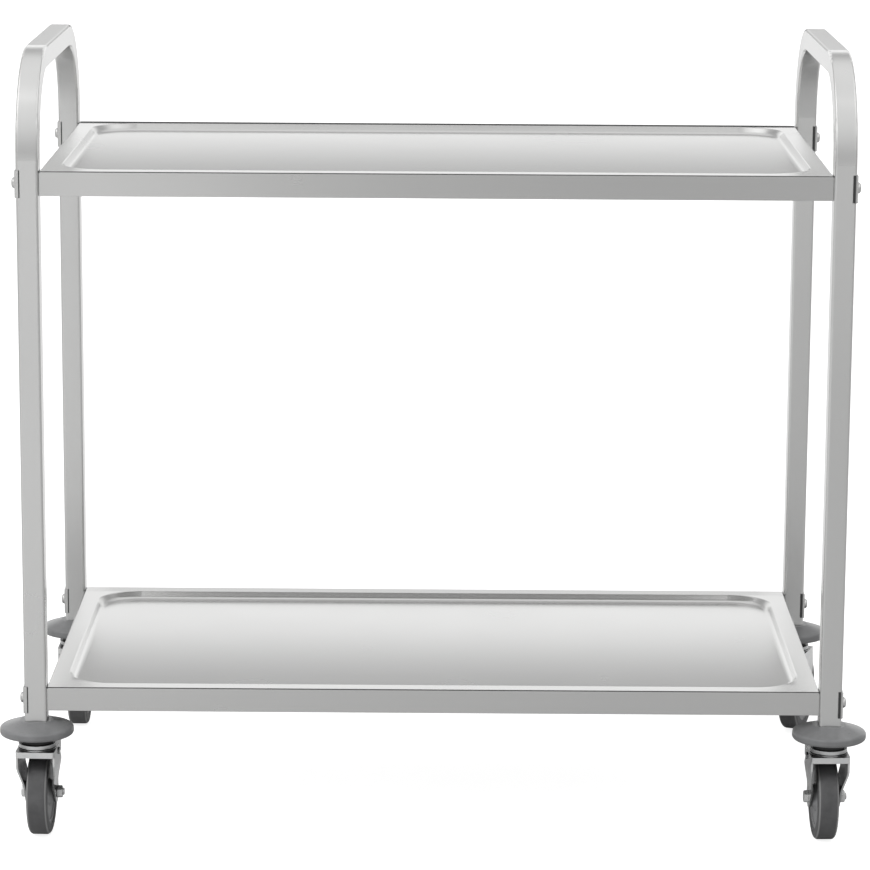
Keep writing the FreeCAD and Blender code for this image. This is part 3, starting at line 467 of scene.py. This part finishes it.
def pressed_normals(graph, place, flat, crown, lean, rim_lean):
    """Normals of a pressed sheet: its tray a little crowned and leaning, its end rims dipping to the inside
    and its back rim to the back."""
    x, y, _ = graph.split(place)
    off_middle = graph.math("ABSOLUTE", x)
    off_centre = graph.math("ABSOLUTE", y)
    arch = graph.math("MULTIPLY", graph.math("POWER", y, 2.0), -crown)
    slope = graph.math("MULTIPLY", y, lean)
    swell = graph.noise(graph.stretch(place, SHEET_WAVES), detail=1.0)
    waves = graph.math("MULTIPLY", swell, SHEET_WAVE_HEIGHT)
    tray_form = graph.math("ADD", graph.math("ADD", arch, slope), waves)
    past_tray = graph.math("MAXIMUM", graph.math("SUBTRACT", off_middle, RIM_START), 0.0)
    dip = graph.math("MULTIPLY", graph.math("POWER", past_tray, 2.0), RIM_DIP)
    past_back = graph.math("MAXIMUM", graph.math("SUBTRACT", y, BACK_RIM_START), 0.0)
    fall = graph.math("MULTIPLY", past_back, BACK_RIM_FALL)
    rise = graph.math("MULTIPLY", graph.math("MINIMUM", y, BACK_RIM_START), rim_lean)
    rim_form = graph.math("SUBTRACT", graph.math("ADD", dip, rise), fall)
    in_width = graph.spread(off_centre, 1.0, 0.0, TRAY_HALF_WIDTH, BACK_RIM_START, "SMOOTHSTEP")
    tray_edge = TRAY_HALF_LENGTH + TRAY_WALL
    in_length = graph.spread(off_middle, 0.0, 1.0, tray_edge, TRAY_HALF_LENGTH, "SMOOTHSTEP")
    in_tray = graph.math("MULTIPLY", in_length, in_width)
    soft = graph.soft_edges(STEEL_EDGE)
    rim = graph.bump(rim_form, below=soft)
    tray = graph.bump(tray_form, below=soft)
    return graph.blend(flat, soft, graph.blend(in_tray, rim, tray))


def sheet_steel(name, shelf=None, crown=0.0, lean=0.0, rim_lean=0.0):
    """Satin steel sheet with its grain along X and a smoother back rim. A shelf also has painted shade
    along its folds.
    """
    material, graph = new_material(name)
    place = graph.place()
    _, y, _ = graph.split(place)
    level = graph.level_share()
    flat = graph.spread(level, 0.0, 1.0, *FLAT_LEVELS)
    normals = pressed_normals(graph, place, flat, crown, lean, rim_lean)
    if shelf is not None:
        normals = square_corners(graph, shelf, normals)
    across = graph.join(level, 0.0, graph.math("SUBTRACT", 1.0, level))
    on_back_rim = graph.spread(y, 0.0, BACK_RIM_POLISH, BACK_RIM_START, BACK_RIM_START + BACK_RIM_BLEND)
    smoother = graph.math("MULTIPLY", flat, on_back_rim)
    colour = finish_steel(graph, place, place, across, normals, smoother=smoother)
    if shelf is not None:
        add_painted_fold_shade(graph, shelf, colour)
    return material


def saddle_steel(name):
    """Satin steel of the clips round the posts, with a painted shadow line along their lips, wider towards
    the right.
    """
    material, graph = new_material(name)
    place = graph.place()
    x, _, _ = graph.split(place)
    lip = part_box("upper_saddles")[1].x - SADDLE_DEPTH
    from_lip = graph.math("SUBTRACT", graph.math("ABSOLUTE", x), lip)
    level = graph.level_share()
    across = graph.join(level, 0.0, graph.math("SUBTRACT", 1.0, level))
    colour = finish_steel(graph, place, place, across, graph.soft_edges(STEEL_EDGE))
    # Painted shadow along each lip, narrow on the left posts and wide on the right posts.
    line = graph.spread(x, LEFT_SADDLE_SHADOW_WIDTH, RIGHT_SADDLE_SHADOW_WIDTH, -lip, lip)
    unshadowed = graph.spread(graph.math("DIVIDE", from_lip, line), 0.0, 1.0, *SADDLE_SHADOW_BLUR)
    graph.set(Base_Color=graph.blend(unshadowed, SADDLE_PAINTED_SHADOW, colour))
    return material


def finish_zinc(graph, place):
    """Bright zinc plate, a little clouded."""
    cloud = graph.noise(place, scale=ZINC_CLOUDS, detail=3.0)
    colour = graph.tint(graph.spread(cloud, 0.0, 1.0), ZINC_DARK, ZINC_PALE)
    graph.set(Base_Color=colour, Metallic=1.0, Roughness=graph.spread(cloud, *ZINC_ROUGHNESS))
    return colour


def zinc_plate(name):
    """Zinc plate with fine scratches, and painted shade in its hollows."""
    material, graph = new_material(name)
    place = graph.place()
    colour = finish_zinc(graph, place)
    unshaded_share = graph.spread(graph.openness(PAINTED_SHADE_REACH), 0.0, 1.0, *PAINTED_SHADE_RANGE)
    # Painted shade: the zinc goes near black where the surface lies deep in a hollow.
    graph.set(Base_Color=graph.blend(unshaded_share, ZINC_PAINTED_SHADE, colour))
    scratches = graph.noise(graph.stretch(place, ZINC_SCRATCHES), detail=2.0)
    graph.bump(scratches, *ZINC_RELIEF, graph.soft_edges(ZINC_EDGE))
    return material


def threaded_zinc(name, place, turn, start):
    """Zinc plate with a thread along the local X axis, from a start to the end."""
    material, graph = new_material(name)
    spot = graph.place()
    finish_zinc(graph, spot)
    x, _, _ = graph.split(graph.to_local(spot, place, turn))
    thread = graph.math("SINE", graph.math("MULTIPLY", x, 2 * math.pi / THREAD_PITCH))
    cut = graph.math("MULTIPLY", thread, graph.math("GREATER_THAN", x, start))
    graph.bump(cut, *THREAD_RELIEF, graph.soft_edges(ZINC_EDGE))
    return material


def bumper_plastic(name, middle):
    """Moulded grey plastic with faint rings round the post."""
    material, graph = new_material(name)
    place = graph.place()
    x, y, _ = graph.split(graph.to_local(place, middle, 0.0))
    rings = graph.math("SINE", graph.math("MULTIPLY", graph.length(x, y), RING_RADIANS_PER_METRE))
    speckle = graph.noise(place, scale=BUMPER_SPECKLES, detail=3.0)
    cloud = graph.noise(place, scale=BUMPER_CLOUDS, detail=3.0)
    colour = graph.tint(graph.spread(cloud, 0.0, 1.0), BUMPER_DARK, BUMPER_PALE)
    graph.set(Base_Color=colour, Roughness=graph.spread(speckle, *BUMPER_ROUGHNESS))
    height = graph.math("ADD", graph.math("MULTIPLY", rings, RING_SHARE), speckle)
    graph.bump(height, *BUMPER_RELIEF)
    return material


def tyre_rubber(name, middle, turn):
    """Dark grey rubber: fine lines round the tread, a parting line along its middle, and a painted
    highlight along each shoulder.
    """
    material, graph = new_material(name)
    place = graph.place()
    x, _, _ = graph.split(graph.to_local(place, middle, turn))
    lines = graph.noise(graph.join(graph.math("MULTIPLY", x, TYRE_LINES), 0.0, 0.0), detail=2.0)
    off_middle = graph.math("ABSOLUTE", x)
    parting = graph.spread(off_middle, 1.0, 0.0, *PARTING_RANGE)
    dust = graph.noise(place, scale=TYRE_DUST, detail=6.0)
    rubber = graph.tint(graph.spread(dust, 0.0, 1.0), TYRE_DARK, TYRE_PALE)
    shoulder = TYRE_HALF_WIDTH - TYRE_ROUND / 3
    from_shoulder = graph.math("ABSOLUTE", graph.math("SUBTRACT", off_middle, shoulder))
    # Painted highlight: a paler line along each shoulder of the tread.
    painted_highlight = graph.spread(from_shoulder, 1.0, 0.0, *SHOULDER_HIGHLIGHT_RANGE)
    colour = graph.blend(painted_highlight, rubber, SHOULDER_PAINTED_HIGHLIGHT)
    graph.set(Base_Color=colour, Roughness=graph.spread(dust, *TYRE_ROUGHNESS))
    graph.bump(graph.math("ADD", lines, parting), *TYRE_RELIEF)
    return material


def moulded_plastic(name, dark, pale, roughness):
    """Plain moulded plastic or rubber between two shades."""
    material, graph = new_material(name)
    place = graph.place()
    cloud = graph.noise(place, scale=PLASTIC_CLOUDS, detail=4.0)
    speckle = graph.noise(place, scale=PLASTIC_SPECKLES, detail=2.0)
    colour = graph.tint(graph.spread(cloud, 0.0, 1.0), dark, pale)
    most_rough = roughness + PLASTIC_ROUGHNESS_SPREAD
    graph.set(Base_Color=colour, Roughness=graph.spread(speckle, roughness, most_rough))
    graph.bump(speckle, *PLASTIC_RELIEF)
    return material


def add_piece(name, form, material, body):
    """Makes an object of a bmesh, which rides on a body."""
    mesh = bpy.data.meshes.new(name)
    form.normal_update()
    form.to_mesh(mesh)
    form.free()
    mesh.materials.append(material)
    mesh.shade_smooth()
    piece = bpy.data.objects.new(name, mesh)
    bpy.context.collection.objects.link(piece)
    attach(piece, body)
    return piece


def add_ridge(form, to_place):
    """A bar with a half-round top across X, standing on its local XY plane."""
    ends = []
    for x in (-RIDGE_LENGTH / 2, RIDGE_LENGTH / 2):
        ring = []
        for step in range(RIDGE_FACETS + 1):
            angle = math.pi * step / RIDGE_FACETS
            spot = Vector((x, RIDGE_WIDTH / 2 * math.cos(angle), RIDGE_HEIGHT * math.sin(angle)))
            ring.append(form.verts.new(to_place @ spot))
        ends.append(ring)
    left, right = ends
    form.faces.new(reversed(left))
    form.faces.new(right)
    for k in range(RIDGE_FACETS + 1):
        following = (k + 1) % (RIDGE_FACETS + 1)
        form.faces.new((left[k], left[following], right[following], right[k]))


def add_pedal_ridges(corner, material):
    """Pressed ridges across the top of a brake pedal, for the shoe's grip."""
    pin = Vector(joints[f"{corner}_brake_press"]["pos_m"])
    on_pedal = Matrix.Translation(pin) @ Matrix.Rotation(caster_turn(corner), 4, "Z")
    lean = Matrix.Rotation(math.atan2(PEDAL_RISE, PEDAL_REACH), 4, "X")
    form = bmesh.new()
    for k in range(RIDGE_COUNT):
        back = RIDGE_FIRST + k * RIDGE_STEP
        top = PEDAL_TOP + PEDAL_RISE * back / PEDAL_REACH
        add_ridge(form, on_pedal @ Matrix.Translation((0.0, back, top)) @ lean)
    add_piece(f"{corner}_pedal_ridges", form, material, f"{corner}_brake")


def add_weld(form, middle):
    """A shallow round dent with a raised rim, facing down."""
    rings = []
    for radius, proud in WELD_PROFILE[1:]:
        ring = []
        for side in range(WELD_SIDES):
            angle = 2 * math.pi * side / WELD_SIDES
            spot = Vector((radius * math.cos(angle), radius * math.sin(angle), -proud))
            ring.append(form.verts.new(middle + spot))
        rings.append(ring)
    centre = form.verts.new(middle - Vector((0.0, 0.0, WELD_PROFILE[0][1])))
    for k in range(WELD_SIDES):
        following = (k + 1) % WELD_SIDES
        form.faces.new((centre, rings[0][following], rings[0][k]))
        for inner, outer in zip(rings, rings[1:]):
            form.faces.new((inner[k], inner[following], outer[following], outer[k]))
    form.faces.new(rings[-1])


def add_spot_welds(channel, material):
    """A row of spot welds along each flange of a channel."""
    low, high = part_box(channel)
    height = high.z - WELD_SHEET
    step = (high.x - low.x - 2 * WELD_END) / (WELD_COUNT - 1)
    form = bmesh.new()
    for y in (low.y + WELD_FLANGE / 2, high.y - WELD_FLANGE / 2):
        for k in range(WELD_COUNT):
            add_weld(form, Vector((low.x + WELD_END + k * step, y, height)))
    add_piece(f"{channel}_spot_welds", form, material, "cart_frame")


def dress_frame_and_shelves():
    dress(tube_steel("tube_steel"), "left_frame", "right_frame")
    for level in ("upper", "lower"):
        shelf = f"{level}_shelf"
        pressing = (TRAY_CROWN[level], TRAY_LEAN[level], RIM_LEAN[level])
        dress(sheet_steel(f"{level}_tray_steel", shelf, *pressing), shelf)
    plain_sheet = sheet_steel("sheet_steel")
    dress(plain_sheet, *[name for name in nodes if name.endswith(("_channel", "_shelf_bolts"))])
    dress(saddle_steel("saddle_steel"), "upper_saddles", "lower_saddles")
    for level in ("upper", "lower"):
        add_spot_welds(f"{level}_shelf_channel", plain_sheet)
    dress(moulded_plastic("plug_plastic", *PLUG_PLASTIC), "post_plugs")
    # The seals' near black: partly rubber, partly painted shade.
    dress(moulded_plastic("seal_rubber_and_painted_shade", *SEAL_RUBBER_AND_PAINTED_SHADE), "dust_seals")


def dress_casters():
    zinc = zinc_plate("zinc_plate")
    caster_ends = ("_stem", "_balls", "_fork", "_axle_nut", "_hub_bush", "_brake_pin", "_pedal")
    zinc_ends = ("_nuts", "_plates", *caster_ends)
    dress(zinc, *[name for name in nodes if name.endswith(zinc_ends)])
    for corner in BRAKED:
        add_pedal_ridges(corner, zinc)
    hub = moulded_plastic("hub_plastic", *HUB_PLASTIC)
    for corner in CORNERS:
        turn = caster_turn(corner)
        axle = Vector(joints[f"{corner}_wheel_spin"]["pos_m"])
        low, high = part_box(f"{corner}_hub_bush")
        thread_start = (high.x - low.x) / 2
        dress(threaded_zinc(f"{corner}_axle_zinc", axle, turn, thread_start), f"{corner}_axle_bolt")
        dress(bumper_plastic(f"{corner}_bumper_plastic", node_mid(f"{corner}_bumper")), f"{corner}_bumper")
        dress(tyre_rubber(f"{corner}_tyre_rubber", node_mid(f"{corner}_tyre"), turn), f"{corner}_tyre")
        dress(hub, f"{corner}_wheel_hub")


def make_floor():
    """A pale floor that goes white in view and keeps the shadow."""
    half = FLOOR_SIZE / 2
    corners = [(-half, -half, 0), (half, -half, 0), (half, half, 0), (-half, half, 0)]
    mesh = bpy.data.meshes.new("floor")
    mesh.from_pydata(corners, [], [(0, 1, 2, 3)])
    floor = bpy.data.objects.new("floor", mesh)
    bpy.context.collection.objects.link(floor)
    material, graph = new_material("floor_white")
    place = graph.place()
    x, y, _ = graph.split(place)
    speckle = graph.noise(place, scale=FLOOR_SPECKLES, detail=3.0)
    low = FLOOR_COLOUR - FLOOR_SPECKLE_CONTRAST
    high = FLOOR_COLOUR + FLOOR_SPECKLE_CONTRAST
    colour = graph.tint(speckle, (low, low, low), (high, high, high))
    graph.set(Base_Color=colour, Roughness=FLOOR_ROUGHNESS)
    path = graph.add("ShaderNodeLightPath")
    seen = graph.math("MULTIPLY", path.outputs["Is Camera Ray"], FLOOR_SEEN)
    near = graph.spread(y, *FLOOR_NEAR_SHARE, *FLOOR_NEAR_RANGE)
    lit_side = graph.spread(x, *FLOOR_LEFT_SHARE, *FLOOR_LEFT_RANGE)
    mirrored = graph.math("MULTIPLY", graph.math("MULTIPLY", near, lit_side), FLOOR_MIRRORED)
    behind = graph.spread(y, 0.0, 1.0, *FLOOR_BEHIND_RANGE)
    front_part = graph.math("MULTIPLY", mirrored, graph.math("SUBTRACT", 1.0, behind))
    mirrored = graph.math("ADD", front_part, graph.math("MULTIPLY", behind, FLOOR_BEHIND))
    mirrored = graph.math("MULTIPLY", path.outputs["Is Glossy Ray"], mirrored)
    graph.set(Emission_Color=(1.0, 1.0, 1.0, 1.0), Emission_Strength=graph.math("ADD", seen, mirrored))
    mesh.materials.append(material)


def make_world():
    """A pale studio: bright low down at the back, darker in the middle of the front and at both ends."""
    world = bpy.data.worlds.new("studio")
    world.use_nodes = True
    bpy.context.scene.world = world
    graph = Graph(world.node_tree, "Background")
    direction = graph.add("ShaderNodeTexCoord").outputs["Generated"]
    x, y, z = graph.split(direction)
    sideways = graph.math("ABSOLUTE", x)
    low_share = graph.spread(z, LOW_SIDES_LEVEL, 0.0, *LOW_SIDES_TOP)
    low_sides = graph.math("MULTIPLY", low_share, graph.spread(sideways, 0.0, 1.0, *LOW_SIDES_RANGE))
    back = graph.math("MAXIMUM", graph.steps(z, BACK_LEVELS), low_sides)
    aside = graph.spread(sideways, *FRONT_SIDES_SHARE, *FRONT_SIDES_RANGE)
    lit_side = graph.spread(x, *LEFT_TO_RIGHT_SHARE, *LEFT_TO_RIGHT_RANGE)
    front_share = graph.math("MULTIPLY", aside, lit_side)
    front = graph.math("MULTIPLY", graph.steps(z, FRONT_LEVELS), front_share)
    behind = graph.spread(y, 0.0, 1.0, *FRONT_TO_BACK_RANGE)
    back_part = graph.math("MULTIPLY", back, behind)
    front_part = graph.math("MULTIPLY", front, graph.math("SUBTRACT", 1.0, behind))
    ends = graph.spread(sideways, *ENDS_SHARE, *ENDS_RANGE)
    level = graph.math("MULTIPLY", graph.math("ADD", back_part, front_part), ends)
    camera = graph.add("ShaderNodeLightPath").outputs["Is Camera Ray"]
    graph.set(Color=(1.0, 1.0, 1.0, 1.0), Strength=graph.math("MAXIMUM", level, camera))


def add_softbox(name, place, target, size, power, mirrored):
    """A soft light at a place, aimed at a target. Metal shows its reflection only where it is mirrored."""
    light = bpy.data.lights.new(name, "AREA")
    light.shape = "RECTANGLE"
    light.size, light.size_y = size
    light.energy = power
    lamp = bpy.data.objects.new(name, light)
    lamp.location = place
    lamp.rotation_euler = (Vector(target) - Vector(place)).to_track_quat("-Z", "Y").to_euler()
    lamp.visible_camera = False
    lamp.visible_glossy = mirrored
    bpy.context.collection.objects.link(lamp)


def make_camera():
    data = bpy.data.cameras.new("photo_camera")
    data.sensor_fit = "HORIZONTAL"
    data.sensor_width = SENSOR_WIDTH
    data.lens = SENSOR_WIDTH * FOCAL_PIXELS / IMAGE_SIZE
    data.clip_end = FLOOR_SIZE * 2
    camera = bpy.data.objects.new("photo_camera", data)
    aim = Matrix.Rotation(math.radians(CAMERA_YAW), 4, "Z")
    tilt = Matrix.Rotation(math.radians(90.0 + CAMERA_PITCH), 4, "X")
    roll = Matrix.Rotation(math.radians(CAMERA_ROLL), 4, "Z")
    camera.matrix_world = Matrix.Translation(CAMERA_PLACE) @ aim @ tilt @ roll
    bpy.context.collection.objects.link(camera)
    bpy.context.scene.camera = camera


dress_frame_and_shelves()
dress_casters()
make_floor()
make_world()
for lamp_name, settings in LAMPS.items():
    add_softbox(lamp_name, *settings)
make_camera()
bpy.context.scene.view_settings.view_transform = "Standard"
